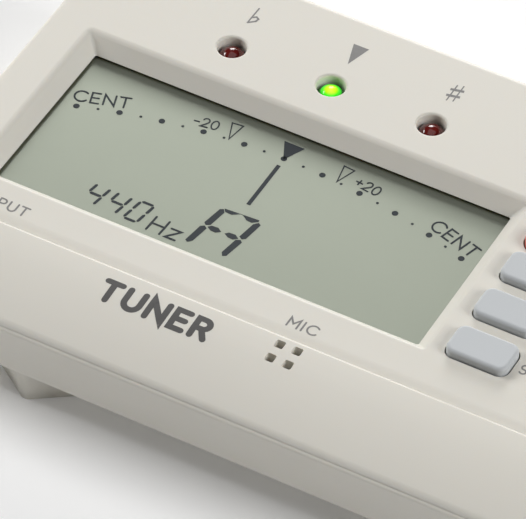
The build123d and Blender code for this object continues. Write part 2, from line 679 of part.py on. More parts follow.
# ================================================================ microphone
with BuildPart() as microphone:
    with BuildSketch(Plane.XY.offset(BOARD_Z1 + 0.1)):
        with Locations((MIC_X, MIC_Y)):
            Circle(MIC_R)
    extrude(amount=2.2)
    fillet(microphone.faces().sort_by(Axis.Z)[-1].edges(), 0.3)
microphone.part.label = "microphone"
export_step(microphone.part, "parts/microphone.step")

with BuildPart() as microphone_boot:
    with BuildSketch(Plane.XY.offset(BOARD_Z1)):
        with Locations((MIC_X, MIC_Y)):
            Circle(MIC_R + 0.8)
            Circle(MIC_R + 0.02, mode=Mode.SUBTRACT)
    extrude(amount=CEILING_Z - BOARD_Z1 - 0.02)
microphone_boot.part.label = "microphone_boot"
export_step(microphone_boot.part, "parts/microphone_boot.step")


# ================================================================ input jack
with BuildPart() as jack_bush:
    with BuildSketch(Plane.YZ.offset(JACK_X0)):
        with Locations((JACK_Y, JACK_Z)):
            Circle(JACK_BUSH_R)
            Circle(JACK_BORE_R, mode=Mode.SUBTRACT)
    extrude(amount=JACK_BUSH_L)
    mouth = jack_bush.edges().filter_by(GeomType.CIRCLE).group_by(Axis.X)[0]
    fillet(mouth.sort_by(lambda e: e.radius)[-1:], 0.25)
jack_bush.part.label = "jack_bush"
export_step(jack_bush.part, "parts/jack_bush.step")

with BuildPart() as jack_body:
    with BuildSketch(Plane.YZ.offset(JACK_BODY_X0)):
        with Locations((JACK_Y, (JACK_BODY_Z0 + JACK_BODY_Z1) / 2)):
            Rectangle(JACK_BODY_D, JACK_BODY_Z1 - JACK_BODY_Z0)
        with Locations((JACK_Y, JACK_Z)):
            Circle(JACK_BORE_R, mode=Mode.SUBTRACT)
    extrude(amount=JACK_BODY_X1 - JACK_BODY_X0)
    with BuildSketch(Plane.YZ.offset(JACK_BODY_X0)):
        with Locations((JACK_Y, JACK_Z)):
            Circle(JACK_BUSH_R + 0.02)
    extrude(amount=JACK_X0 + JACK_BUSH_L + 0.02 - JACK_BODY_X0, mode=Mode.SUBTRACT)
jack_body.part.label = "jack_body"
export_step(jack_body.part, "parts/jack_body.step")

with BuildPart() as jack_lugs:
    with BuildSketch(Plane.XY.offset(BOARD_Z1)):
        with Locations((JACK_BODY_X1 + LUG_L / 2 + 0.01, JACK_Y)):
            with GridLocations(1, 2.8, 1, 3):
                Rectangle(LUG_L, 1.2)
    extrude(amount=0.3)
jack_lugs.part.label = "jack_lugs"
export_step(jack_lugs.part, "parts/jack_lugs.step")


# ================================================================ loudspeaker
with BuildPart() as speaker_basket:
    with BuildSketch(Plane.XY.offset(SPEAKER_Z0)):
        with Locations((SPEAKER_X, SPEAKER_Y)):
            Circle(SPEAKER_R)
            Circle(SPEAKER_R - 1.2, mode=Mode.SUBTRACT)
    extrude(amount=SPEAKER_Z1 - 1.0 - SPEAKER_Z0)
    with BuildSketch(Plane.XY.offset(SPEAKER_Z1 - 1.4)):
        with Locations((SPEAKER_X, SPEAKER_Y)):
            Circle(SPEAKER_R)
            Circle(MAGNET_R + 0.02, mode=Mode.SUBTRACT)
    extrude(amount=1.4)
speaker_basket.part.label = "speaker_basket"
export_step(speaker_basket.part, "parts/speaker_basket.step")

with BuildPart() as speaker_magnet:
    with BuildSketch(Plane.XY.offset(SPEAKER_Z0 + 1.6)):
        with Locations((SPEAKER_X, SPEAKER_Y)):
            Circle(MAGNET_R)
    extrude(amount=SPEAKER_Z1 - SPEAKER_Z0 - 1.6)
speaker_magnet.part.label = "speaker_magnet"
export_step(speaker_magnet.part, "parts/speaker_magnet.step")

with BuildPart() as speaker_cone:
    with BuildSketch(Plane.XZ.offset(-SPEAKER_Y)):
        Polygon(
            (SPEAKER_X, SPEAKER_Z0 + 1.1),
            (SPEAKER_X + 4, SPEAKER_Z0 + 1.1),
            (SPEAKER_X + SPEAKER_R - 1.25, SPEAKER_Z0 + 0.5),
            (SPEAKER_X + SPEAKER_R - 1.25, SPEAKER_Z0 + 0.8),
            (SPEAKER_X + 4, SPEAKER_Z0 + 1.4),
            (SPEAKER_X, SPEAKER_Z0 + 1.4),
            align=None,
        )
    revolve(axis=Axis((SPEAKER_X, SPEAKER_Y, 0), (0, 0, 1)))
speaker_cone.part.label = "speaker_cone"
export_step(speaker_cone.part, "parts/speaker_cone.step")


# ================================================================ parts on the underside of the board
# name, middle along X and Y, size along X, Y and Z, radius of the upright edges
BLOCKS = [
    ("processor_chip", -4.0, -6.0, 12.0, 12.0, 1.5, 0.3),
    ("amplifier_chip", -2.0, -20.0, 5.0, 4.4, 1.4, 0.2),
    ("crystal", 12.0, -4.0, 4.4, 10.6, 3.2, 2.0),
]
for name, block_x, block_y, block_w, block_d, block_h, block_r in BLOCKS:
    with BuildPart() as block:
        with BuildSketch(Plane.XY.offset(BOARD_Z0 - block_h)):
            with Locations((block_x, block_y)):
                RectangleRounded(block_w, block_d, block_r)
        extrude(amount=block_h - 0.01)
    block.part.label = name
    export_step(block.part, f"parts/{name}.step")

with BuildPart() as capacitor:
    with BuildSketch(Plane.YZ.offset(-22.0)):
        with Locations((-8.0, BOARD_Z0 - 2.1)):
            Circle(2.0)
    extrude(amount=8.0)
    fillet(capacitor.edges().filter_by(GeomType.CIRCLE), 0.4)
capacitor.part.label = "capacitor"
export_step(capacitor.part, "parts/capacitor.step")

with BuildPart() as chip_resistors:
    with BuildSketch(Plane.XY.offset(BOARD_Z0 - 0.5)):
        with Locations((-35.0, -7.0)):
            with GridLocations(6, 4, 2, 4):
                Rectangle(1.6, 0.8)
        with Locations((4.0, 4.0)):
            with GridLocations(3, 1, 4, 1):
                Rectangle(0.8, 1.6)
    extrude(amount=0.49)
chip_resistors.part.label = "chip_resistors"
export_step(chip_resistors.part, "parts/chip_resistors.step")


# ================================================================ case screws
with BuildPart() as case_screws:
    with BuildSketch(Plane.XY.offset(SCREW_HEAD_Z0)):
        with Locations(*SCREWS):
            Circle(SCREW_HEAD_R)
            Rectangle(2.4, 0.5, mode=Mode.SUBTRACT)
            Rectangle(0.5, 2.4, mode=Mode.SUBTRACT)
    extrude(amount=0.7)
    with BuildSketch(Plane.XY.offset(SCREW_HEAD_Z0 + 0.7)):
        with Locations(*SCREWS):
            Circle(SCREW_HEAD_R)
    extrude(amount=SCREW_HEAD_Z1 - SCREW_HEAD_Z0 - 0.7)
    with BuildSketch(Plane.XY.offset(SCREW_HEAD_Z1 - 0.2)):
        with Locations(*SCREWS):
            Circle(SCREW_R)
    extrude(amount=SCREW_TOP_Z - SCREW_HEAD_Z1 + 0.2)
case_screws.part.label = "case_screws"
export_step(case_screws.part, "parts/case_screws.step")
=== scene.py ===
import json
from math import atan2, cos, hypot, pi, radians, sin

import bmesh
import bpy
from mathutils import Euler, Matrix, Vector
from mathutils.bvhtree import BVHTree


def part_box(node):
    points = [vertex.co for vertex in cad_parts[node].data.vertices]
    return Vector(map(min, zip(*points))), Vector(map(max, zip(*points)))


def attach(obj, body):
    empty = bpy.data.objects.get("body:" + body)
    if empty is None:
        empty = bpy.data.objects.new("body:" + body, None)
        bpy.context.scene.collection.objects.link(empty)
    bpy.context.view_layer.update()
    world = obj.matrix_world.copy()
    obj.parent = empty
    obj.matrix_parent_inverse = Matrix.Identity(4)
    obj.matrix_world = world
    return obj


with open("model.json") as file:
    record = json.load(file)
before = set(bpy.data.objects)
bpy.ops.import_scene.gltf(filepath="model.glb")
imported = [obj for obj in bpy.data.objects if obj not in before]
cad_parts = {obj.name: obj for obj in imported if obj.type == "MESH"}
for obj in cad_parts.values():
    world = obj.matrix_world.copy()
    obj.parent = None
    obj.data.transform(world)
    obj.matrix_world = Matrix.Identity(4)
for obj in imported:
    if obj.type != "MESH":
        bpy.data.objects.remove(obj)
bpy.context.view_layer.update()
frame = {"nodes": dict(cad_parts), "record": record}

MM = 0.001
NODES = frame["nodes"]


# ------------------------------------------------------------ places taken from the frame, in millimetres
def box_mm(node):
    """Lowest and highest corner of a CAD node, in millimetres."""
    low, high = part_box(node)
    return low / MM, high / MM


def middle_mm(node):
    low, high = box_mm(node)
    return (low + high) / 2


GLASS_LOW, GLASS_HIGH = box_mm("display_front_glass")
GLASS_MID = (GLASS_LOW + GLASS_HIGH) / 2
GLASS_Z = GLASS_HIGH.z
LAMP_MID = {name: middle_mm(f"led_{name}") for name in ("flat", "in_tune", "sharp")}
FACE_Z = box_mm("front_case")[1].z
PRINT_T = 0.012          # thickness of printed ink
PRINT_LIFT = 0.002       # its underside stands this far off the case
CROSSING_LIFT = 0.0005   # a stroke that crosses another is this much thicker
LCD_INK_T = 0.02
LCD_INK_LIFT = 0.004


# ------------------------------------------------------------------ flat shapes made of closed thin solids
def new_piece(name, bm):
    """Turns a bmesh in millimetres into an object in metres."""
    bmesh.ops.recalc_face_normals(bm, faces=bm.faces)
    bmesh.ops.scale(bm, vec=(MM, MM, MM), verts=bm.verts)
    mesh = bpy.data.meshes.new(name)
    bm.to_mesh(mesh)
    bm.free()
    piece = bpy.data.objects.new(name, mesh)
    bpy.context.scene.collection.objects.link(piece)
    return piece


def slab(bm, outline, z0, z1):
    """Closed prism over an outline of (x, y) points."""
    low = [bm.verts.new((x, y, z0)) for x, y in outline]
    high = [bm.verts.new((x, y, z1)) for x, y in outline]
    bm.faces.new(high)
    bm.faces.new(low[::-1])
    for i in range(len(outline)):
        j = (i + 1) % len(outline)
        bm.faces.new((low[i], low[j], high[j], high[i]))


def disc(x, y, radius, steps=24):
    """Outline of a circle."""
    turns = [2 * pi * i / steps for i in range(steps)]
    return [(x + radius * cos(t), y + radius * sin(t)) for t in turns]


def finely(points, step):
    """The same line with points no further apart than step."""
    out = [points[0]]
    for (x0, y0), (x1, y1) in zip(points, points[1:]):
        count = max(1, int(hypot(x1 - x0, y1 - y0) / step + 0.999))
        out += [(x0 + (x1 - x0) * i / count, y0 + (y1 - y0) * i / count) for i in range(1, count + 1)]
    return out


def stroke(bm, points, width, z0, z1, closed=False, round_ends=True, step=0.7):
    """Closed solid of a pen stroke of the given width along a line of (x, y) points."""
    line = finely(points, step)
    if closed:
        line = line[:-1]
    count = len(line)
    left, right = [], []
    for i, (x, y) in enumerate(line):
        before = line[i - 1] if closed or i > 0 else line[i]
        after = line[(i + 1) % count] if closed or i < count - 1 else line[i]
        d_in = Vector((x - before[0], y - before[1]))
        d_out = Vector((after[0] - x, after[1] - y))
        d_in = d_in.normalized() if d_in.length > 0 else d_out.normalized()
        d_out = d_out.normalized() if d_out.length > 0 else d_in
        along = (d_in + d_out).normalized()
        reach = width / 2 / max(0.35, along.dot(d_in))
        left.append((x - along.y * reach, y + along.x * reach))
        right.append((x + along.y * reach, y - along.x * reach))
    rows = [[bm.verts.new((*a, z)) for a in side] for z in (z1, z0) for side in (left, right)]
    top_l, top_r, low_l, low_r = rows
    spans = range(count if closed else count - 1)
    for i in spans:
        j = (i + 1) % count
        bm.faces.new((top_l[i], top_l[j], top_r[j], top_r[i]))
        bm.faces.new((low_l[i], low_r[i], low_r[j], low_l[j]))
        bm.faces.new((top_l[j], top_l[i], low_l[i], low_l[j]))
        bm.faces.new((top_r[i], top_r[j], low_r[j], low_r[i]))
    if closed:
        return
    for end, beside in ((0, 1), (count - 1, count - 2)):
        (x, y), (bx, by) = line[end], line[beside]
        turn = atan2(y - by, x - bx)
        tops = [top_r[end]]
        lows = [low_r[end]]
        if round_ends:
            sign = 1 if end else -1
            for k in range(1, 6):
                angle = turn + sign * (-pi / 2 + pi * k / 6)
                at = (x + width / 2 * cos(angle), y + width / 2 * sin(angle))
                tops.append(bm.verts.new((*at, z1)))
                lows.append(bm.verts.new((*at, z0)))
        tops.append(top_l[end])
        lows.append(low_l[end])
        if round_ends:
            bm.faces.new(tops)
            bm.faces.new(lows[::-1])
        for i in range(len(tops) - 1):
            bm.faces.new((tops[i], lows[i], lows[i + 1], tops[i + 1]))


# ------------------------------------------------------------ plain single-stroke lettering, cap height 1
def bow(x, y, rx, ry, start, end, steps=14):
    """Points along part of an ellipse, angles in degrees."""
    turns = [radians(start + (end - start) * i / steps) for i in range(steps + 1)]
    return [(x + rx * cos(t), y + ry * sin(t)) for t in turns]


# each letter: its width, then its strokes
LETTERS = {
    "A": (0.80, [[(0, 0), (0.40, 1), (0.80, 0)], [(0.15, 0.35), (0.65, 0.35)]]),
    "B": (0.62, [[(0.3, 0.53)] + bow(0.32, 0.765, 0.24, 0.235, -90, 90) + [(0, 1), (0, 0)]
                 + bow(0.34, 0.265, 0.28, 0.265, -90, 90) + [(0, 0.53)]]),
    "C": (0.86, [bow(0.5, 0.5, 0.5, 0.5, 42, 318, 22)]),
    "D": (0.80, [[(0, 0), (0, 1)] + bow(0.32, 0.5, 0.48, 0.5, 90, -90) + [(0, 0)]]),
    "E": (0.58, [[(0.58, 1), (0, 1), (0, 0), (0.58, 0)], [(0, 0.51), (0.52, 0.51)]]),
    "H": (0.74, [[(0, 0), (0, 1)], [(0.74, 0), (0.74, 1)], [(0, 0.52), (0.74, 0.52)]]),
    "I": (0.00, [[(0, 0), (0, 1)]]),
    "L": (0.52, [[(0, 1), (0, 0), (0.52, 0)]]),
    "M": (0.88, [[(0, 0), (0, 1), (0.44, 0.38), (0.88, 1), (0.88, 0)]]),
    "N": (0.76, [[(0, 0), (0, 1), (0.76, 0), (0.76, 1)]]),
    "O": (1.00, [bow(0.5, 0.5, 0.5, 0.5, 0, 360, 26)]),
    "P": (0.60, [[(0, 0), (0, 1)] + bow(0.32, 0.73, 0.28, 0.27, 90, -90) + [(0, 0.46)]]),
    "R": (0.64, [[(0, 0), (0, 1)] + bow(0.32, 0.74, 0.28, 0.26, 90, -90) + [(0, 0.48)],
                 [(0.34, 0.48), (0.64, 0)]]),
    "S": (0.62, [bow(0.31, 0.745, 0.27, 0.255, 35, 262) + bow(0.31, 0.255, 0.29, 0.255, 82, -145)]),
    "T": (0.72, [[(0, 1), (0.72, 1)], [(0.36, 1), (0.36, 0)]]),
    "U": (0.72, [[(0, 1)] + bow(0.36, 0.36, 0.36, 0.36, 180, 360) + [(0.72, 1)]]),
    "W": (1.06, [[(0, 1), (0.27, 0), (0.53, 0.95), (0.79, 0), (1.06, 1)]]),
    "z": (0.56, [[(0, 0.65), (0.56, 0.65), (0, 0), (0.56, 0)]]),
    "0": (0.60, [bow(0.30, 0.5, 0.30, 0.5, 0, 360, 26)]),
    "2": (0.56, [bow(0.28, 0.72, 0.27, 0.28, 165, -35) + [(0, 0), (0.58, 0)]]),
    "-": (0.42, [[(0, 0.42), (0.42, 0.42)]]),
    "+": (0.56, [[(0, 0.45), (0.56, 0.45)], [(0.28, 0.17), (0.28, 0.73)]]),
}
CLOSED_LETTERS = "D0O"


def text_width(text, gap):
    return sum(LETTERS[c][0] for c in text) + gap * (len(text) - 1)


def write(bm, text, height, pen, z0, z1, place, gap=0.3, step=0.7):
    """Draws text centred on the origin of place, a function from the text's own (x, y) to the piece's."""
    x = -text_width(text, gap) / 2
    layer = 0
    for c in text:
        width, strokes = LETTERS[c]
        for points in strokes:
            at = [place((x + px) * height, (py - 0.5) * height) for px, py in points]
            # each stroke is a hair higher than the last, so that crossing strokes don't share a face
            lift = layer * 0.0004
            stroke(bm, at, pen, z0, z1 + lift, closed=c in CLOSED_LETTERS and len(points) > 12, step=step)
            layer += 1
        x += width + gap


def shifted(x0, y0, angle=0.0, slant=0.0):
    """A place function: turned by angle degrees, leaning by slant, and moved to (x0, y0)."""
    turn = radians(angle)

    def place(x, y):
        x = x + slant * y
        return (x0 + x * cos(turn) - y * sin(turn), y0 + x * sin(turn) + y * cos(turn))

    return place


# ------------------------------------------------------------------ materials
def new_material(name):
    material = bpy.data.materials.new(name)
    material.use_nodes = True
    tree = material.node_tree
    shader = tree.nodes["Principled BSDF"]
    return material, tree, shader


def add_node(tree, kind, **values):
    """A node with its inputs set by name, and its other settings by attribute."""
    node = tree.nodes.new(kind)
    for key, value in values.items():
        if key in node.inputs:
            node.inputs[key].default_value = value
        else:
            setattr(node, key, value)
    return node


def noise_on(tree, scale, detail=2.0, roughness=0.5, stretch=(1, 1, 1)):
    """Noise in the object's own coordinates; scale is in lumps per metre."""
    coords = add_node(tree, "ShaderNodeTexCoord")
    mapping = add_node(tree, "ShaderNodeMapping", Scale=stretch)
    noise = add_node(tree, "ShaderNodeTexNoise", Scale=scale, Detail=detail, Roughness=roughness)
    tree.links.new(coords.outputs["Object"], mapping.inputs["Vector"])
    tree.links.new(mapping.outputs["Vector"], noise.inputs["Vector"])
    return noise


def ramp_on(tree, source, stops):
    """Colour ramp on a value; stops are (place, (r, g, b))."""
    ramp = add_node(tree, "ShaderNodeValToRGB")
    elements = ramp.color_ramp.elements
    while len(elements) < len(stops):
        elements.new(0.5)
    for element, (place, colour) in zip(elements, stops):
        element.position = place
        element.color = (*colour, 1)
    tree.links.new(source, ramp.inputs["Fac"])
    return ramp


def bump_on(tree, shader, height, strength, distance):
    bump = add_node(tree, "ShaderNodeBump", Strength=strength, Distance=distance)
    tree.links.new(height, bump.inputs["Height"])
    tree.links.new(bump.outputs["Normal"], shader.inputs["Normal"])


def scaled(colour, factor):
    return tuple(c * factor for c in colour)


def finish_with(name, colour, roughness, spread=0.03, patch=40, grain=3000, grain_depth=0.000004,
                bump=0.3, stretch=(1, 1, 1), **sockets):
    """A moulded, painted or plated surface: slightly uneven colour and gloss, and a fine grain."""
    material, tree, shader = new_material(name)
    patches = noise_on(tree, patch, detail=3.0)
    darker, lighter = scaled(colour, 1 - spread), scaled(colour, 1 + spread)
    tint = ramp_on(tree, patches.outputs["Fac"], [(0.3, darker), (0.7, lighter)])
    tree.links.new(tint.outputs["Color"], shader.inputs["Base Color"])
    fine = noise_on(tree, grain, detail=2.0, stretch=stretch)
    gloss = add_node(tree, "ShaderNodeMapRange")
    gloss.inputs["To Min"].default_value = roughness * 0.9
    gloss.inputs["To Max"].default_value = min(1.0, roughness * 1.1)
    tree.links.new(fine.outputs["Fac"], gloss.inputs["Value"])
    tree.links.new(gloss.outputs["Result"], shader.inputs["Roughness"])
    bump_on(tree, shader, fine.outputs["Fac"], bump, grain_depth)
    for socket, value in sockets.items():
        shader.inputs[socket.replace("_", " ")].default_value = value
    return material


def case_plastic():
    """Ivory ABS with a fine spark-eroded grain."""
    return finish_with("ivory_moulded_plastic", (0.735, 0.708, 0.640), 0.52, spread=0.012, patch=25,
                       grain=3500, grain_depth=0.000006, bump=0.25, Subsurface_Weight=0.12,
                       Subsurface_Radius=(0.0012, 0.0009, 0.0006), Subsurface_Scale=1.0)


def key_rubber():
    return finish_with("pale_blue_grey_rubber", (0.560, 0.582, 0.598), 0.62, spread=0.012, patch=60,
                       grain=4500, grain_depth=0.000004, bump=0.2)


def power_key_rubber():
    return finish_with("coral_red_rubber", (0.72, 0.20, 0.16), 0.58, spread=0.02, patch=60,
                       grain=4500, grain_depth=0.000004, bump=0.2)


def display_face():
    """Grey-green satin face of a reflective liquid crystal display."""
    return finish_with("satin_display_face", (0.390, 0.420, 0.350), 0.40, spread=0.02, patch=35,
                       grain=6000, grain_depth=0.000002, bump=0.1, Metallic=1.0)


def lamp_red():
    return finish_with("dark_red_lamp_resin", (0.12, 0.008, 0.006), 0.14, spread=0.15, patch=400,
                       grain=900, grain_depth=0.000002, bump=0.1, Coat_Weight=0.6, Coat_Roughness=0.12)


GLOW_R = 1.7             # the lit lamp's rings run this far out from its axis, in millimetres


def lamp_green():
    """Lit lamp: yellow-green core, green rim and a dark ring, by distance from the lamp's axis."""
    material, tree, shader = new_material("lit_green_lamp")
    axis = LAMP_MID["in_tune"] * MM
    coords = add_node(tree, "ShaderNodeTexCoord")
    from_axis = add_node(tree, "ShaderNodeMapping")
    from_axis.inputs["Location"].default_value = (-axis.x, -axis.y, 0)
    from_axis.inputs["Scale"].default_value = (1, 1, 0)
    distance = add_node(tree, "ShaderNodeVectorMath", operation="LENGTH")
    rings = add_node(tree, "ShaderNodeMapRange")
    rings.inputs["From Max"].default_value = GLOW_R * MM
    tree.links.new(coords.outputs["Object"], from_axis.inputs["Vector"])
    tree.links.new(from_axis.outputs["Vector"], distance.inputs[0])
    tree.links.new(distance.outputs["Value"], rings.inputs["Value"])
    glow = ramp_on(tree, rings.outputs["Result"], [
        (0.0, (0.95, 0.95, 0.05)), (0.42, (0.62, 1.0, 0.0)), (0.62, (0.06, 0.95, 0.01)),
        (0.80, (0.01, 0.55, 0.01)), (0.88, (0.0, 0.04, 0.0)),
    ])
    tree.links.new(glow.outputs["Color"], shader.inputs["Emission Color"])
    shader.inputs["Emission Strength"].default_value = 1.0
    body = ramp_on(tree, rings.outputs["Result"], [(0.0, (0.05, 0.12, 0.02)), (1.0, (0.01, 0.05, 0.01))])
    tree.links.new(body.outputs["Color"], shader.inputs["Base Color"])
    shader.inputs["Roughness"].default_value = 0.15
    return material


MATERIALS = {
    "case_plastic": case_plastic(),
    "key_rubber": key_rubber(),
    "power_key_rubber": power_key_rubber(),
    "carbon_rubber": finish_with("carbon_rubber", (0.03, 0.03, 0.03), 0.8, spread=0.1),
    "lamp_green": lamp_green(),
    "lamp_red": lamp_red(),
    "display_face": display_face(),
    "display_glass": finish_with("display_rear_glass", (0.55, 0.60, 0.55), 0.12, patch=30),
    "reflector_film": finish_with("reflector_film", (0.55, 0.58, 0.50), 0.35, Metallic=0.8),
    "inner_plastic": finish_with("black_inner_plastic", (0.012, 0.012, 0.012), 0.6, spread=0.1),
    "connector_rubber": finish_with("striped_rubber", (0.10, 0.10, 0.12), 0.7, spread=0.5, patch=4000,
                                    stretch=(1, 0.02, 0.02)),
    "board_laminate": finish_with("green_laminate", (0.02, 0.11, 0.04), 0.38, spread=0.15, patch=300,
                                  grain=1500),
    "dark_plastic": finish_with("black_plastic", (0.018, 0.018, 0.02), 0.45, spread=0.1),
    "can_metal": finish_with("satin_can", (0.72, 0.72, 0.73), 0.3, Metallic=1.0),
    "boot_rubber": finish_with("boot_rubber", (0.025, 0.025, 0.025), 0.85, spread=0.1),
    "magnet": finish_with("plated_magnet", (0.45, 0.45, 0.47), 0.35, Metallic=1.0),
    "cone_film": finish_with("cone_film", (0.10, 0.10, 0.10), 0.4, spread=0.1, patch=200),
    "screw_steel": finish_with("zinc_plated_steel", (0.58, 0.58, 0.60), 0.32, patch=600, spread=0.08,
                               Metallic=1.0),
    "plated_metal": finish_with("bright_nickel", (0.72, 0.71, 0.69), 0.16, patch=500, spread=0.04,
                                Metallic=1.0),
    "cell_can": finish_with("cell_sleeve", (0.10, 0.11, 0.13), 0.3, patch=100, Coat_Weight=0.5),
}
for row in frame["record"]["subparts"]:
    mesh = NODES[row["node"]].data
    mesh.materials.clear()
    mesh.materials.append(MATERIALS[row["material_slot"]])

LCD_INK = finish_with("liquid_crystal_segment", (0.048, 0.054, 0.060), 0.5, spread=0.06, patch=150,
                      Specular_IOR_Level=0.1)
PRINT_GREY = finish_with("grey_screen_print", (0.225, 0.22, 0.215), 0.6, spread=0.06, patch=500)
PRINT_DARK = finish_with("dark_screen_print", (0.085, 0.082, 0.08), 0.6, spread=0.06, patch=500)


def ride_with(piece, material, body="housing"):
    piece.data.materials.append(material)
    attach(piece, body)
    return piece


# ------------------------------------------------------------------ what the display shows
# Display coordinates: millimetres from the middle of the glass.
SCALE_Y = -78.8          # centre of the scale's arc
SCALE_R = 87.34
DOT_STEP = 1.916         # degrees
DOT_COUNT = 10           # each side of the middle
SMALL_DOT_R = 0.20
LARGE_DOT_R = 0.44


def on_scale(angle, out=0.0, slant=0.0):
    """A place function on the scale's arc, angle degrees to the right of the middle and out from the arc."""
    turn = radians(angle)
    x0 = (SCALE_R + out) * sin(turn)
    y0 = SCALE_Y + (SCALE_R + out) * cos(turn)
    return shifted(x0, y0, -angle, slant)


def display_piece(name, draw):
    bm = bmesh.new()
    z0 = GLASS_Z + LCD_INK_LIFT
    draw(bm, z0, z0 + LCD_INK_T)
    bmesh.ops.translate(bm, vec=(GLASS_MID.x, GLASS_MID.y, 0), verts=bm.verts)
    return ride_with(new_piece(name, bm), LCD_INK)


def draw_dots(bm, z0, z1):
    for k in range(-DOT_COUNT, DOT_COUNT + 1):
        radius = SMALL_DOT_R if k % 2 else LARGE_DOT_R
        slab(bm, disc(*on_scale(k * DOT_STEP)(0, 0), radius), z0, z1)


def draw_needle(bm, z0, z1):
    stroke(bm, [(0.03, 7.12), (0.03, -1.28)], 0.56, z0, z1, round_ends=False)


def draw_centre_mark(bm, z0, z1):
    slab(bm, [(-1.53, 11.53), (0, 8.34), (1.53, 11.53)], z0, z1)


def draw_side_marks(bm, z0, z1):
    """The two outlined triangles beside the middle of the scale."""
    for side in (-1, 1):
        place = on_scale(side * 5.3)
        corners = [place(x, y) for x, y in ((-0.8, 3.05), (0, 0.05), (0.8, 3.05), (-0.8, 3.05))]
        stroke(bm, corners, 0.2, z0, z1, closed=True, step=5)


def draw_scale_text(bm, z0, z1):
    for side, text in ((-1, "-20"), (1, "+20")):
        write(bm, text, 1.6, 0.22, z0, z1, on_scale(side * 7.8, 1.7), gap=0.26)
    for side in (-1, 1):
        write(bm, "CENT", 1.94, 0.27, z0, z1, on_scale(side * 17.15, 1.95), gap=0.32)


# seven-segment digits: which bars each one lights
SEGMENTS = {"4": "bcfg", "0": "abcdef"}
BAR_NAMES_UPRIGHT = {"f": (-1, 1), "b": (1, 1), "e": (-1, -1), "c": (1, -1)}
BAR_NAMES_LEVEL = {"a": 1, "g": 0, "d": -1}
DIGIT_H = 4.1
DIGIT_W = 2.35
DIGIT_PEN = 0.4
DIGIT_PITCH = 3.25
DIGIT_SLANT = 0.17


def pointed_bar(start, end, pen, place):
    """Outline of a bar between two points with its ends cut to a point."""
    (x0, y0), (x1, y1) = start, end
    along = Vector((x1 - x0, y1 - y0)).normalized() * pen / 2
    across = Vector((-along.y, along.x))
    corners = [
        (x0, y0), (x0 + along.x + across.x, y0 + along.y + across.y),
        (x1 - along.x + across.x, y1 - along.y + across.y), (x1, y1),
        (x1 - along.x - across.x, y1 - along.y - across.y),
        (x0 + along.x - across.x, y0 + along.y - across.y),
    ]
    return [place(*c) for c in corners]


def draw_pitch_digits(bm, z0, z1):
    half_w = (DIGIT_W - DIGIT_PEN) / 2
    half_h = (DIGIT_H - DIGIT_PEN) / 2
    gap = 0.09
    for i, digit in enumerate("440"):
        place = shifted(-18.2 + i * DIGIT_PITCH, -9.45, slant=DIGIT_SLANT)
        for bar in SEGMENTS[digit]:
            if bar in BAR_NAMES_UPRIGHT:
                side, level = BAR_NAMES_UPRIGHT[bar]
                start, end = (side * half_w, level * gap), (side * half_w, level * (half_h - gap))
            else:
                y = BAR_NAMES_LEVEL[bar] * half_h
                start, end = (-half_w + gap, y), (half_w - gap, y)
            slab(bm, pointed_bar(start, end, DIGIT_PEN, place), z0, z1)


def draw_hertz(bm, z0, z1):
    write(bm, "Hz", 2.62, 0.3, z0, z1, shifted(-7.15, -10.42, slant=0.05), gap=0.32)


def draw_note(bm, z0, z1):
    """The big A: four pointed uprights, a bowed top bar, and a middle bar in two halves."""
    upright = [(0.0, 0.15), (0.42, -0.20), (0.95, 0.12), (0.95, 2.95), (0.50, 3.52), (0.06, 3.25)]
    lean = 0.17
    x_left, x_right, middle_y = -3.42, 1.80, -7.25

    def leaned(points):
        return [(x + lean * (y - middle_y), y) for x, y in points]

    for x0, mirror_x in ((x_left, 1), (x_right, -1)):
        shift = x0 if mirror_x == 1 else x0 + 0.95
        slab(bm, leaned([(shift + mirror_x * x, middle_y + 0.18 + y) for x, y in upright]), z0, z1)
        slab(bm, leaned([(shift + mirror_x * x, middle_y - 0.38 - y) for x, y in upright]), z0, z1)
    slab(bm, leaned([(-2.95, -3.42), (2.00, -3.10), (2.10, -3.42), (1.45, -3.98), (0.65, -3.92),
                     (-0.30, -3.30), (-0.62, -3.30), (-1.50, -3.98), (-2.55, -3.90)]), z0, z1)
    for x0 in (-2.62, -0.08):
        slab(bm, [(x0, -7.45), (x0 + 0.42, -7.0), (x0 + 1.35, -6.93), (x0 + 2.02, -7.39),
                  (x0 + 1.42, -7.86), (x0 + 0.70, -7.84)], z0, z1)


display_piece("display_scale_dots", draw_dots)
display_piece("display_needle", draw_needle)
display_piece("display_centre_mark", draw_centre_mark)
display_piece("display_side_marks", draw_side_marks)
display_piece("display_scale_text", draw_scale_text)
display_piece("display_pitch_digits", draw_pitch_digits)
display_piece("display_hertz", draw_hertz)
display_piece("display_note", draw_note)


# ------------------------------------------------------------------ printing on the case
CASE_TREE = BVHTree.FromObject(NODES["front_case"], bpy.context.evaluated_depsgraph_get())


def printed_piece(name, draw, material):
    """Printing drawn flat, then laid on the front case's surface below it."""
    bm = bmesh.new()
    draw(bm, 0.0, PRINT_T)
    for v in bm.verts:
        hit = CASE_TREE.ray_cast(Vector((v.co.x, v.co.y, FACE_Z + 5)) * MM, Vector((0, 0, -1)))
        v.co.z += hit[0].z / MM + PRINT_LIFT
    return ride_with(new_piece(name, bm), material)


def draw_flat_sign(bm, z0, z1):
    x, y = LAMP_MID["flat"].x, LAMP_MID["flat"].y
    stem = [(x - 0.45, y + 8.4), (x - 0.5, y + 5.2)]
    bowl = [(x - 0.48, y + 6.35), (x + 0.05, y + 6.75), (x + 0.48, y + 6.5), (x + 0.35, y + 5.95),
            (x - 0.5, y + 5.2)]
    stroke(bm, stem, 0.2, z0, z1)
    stroke(bm, bowl, 0.26, z0, z1 + CROSSING_LIFT)


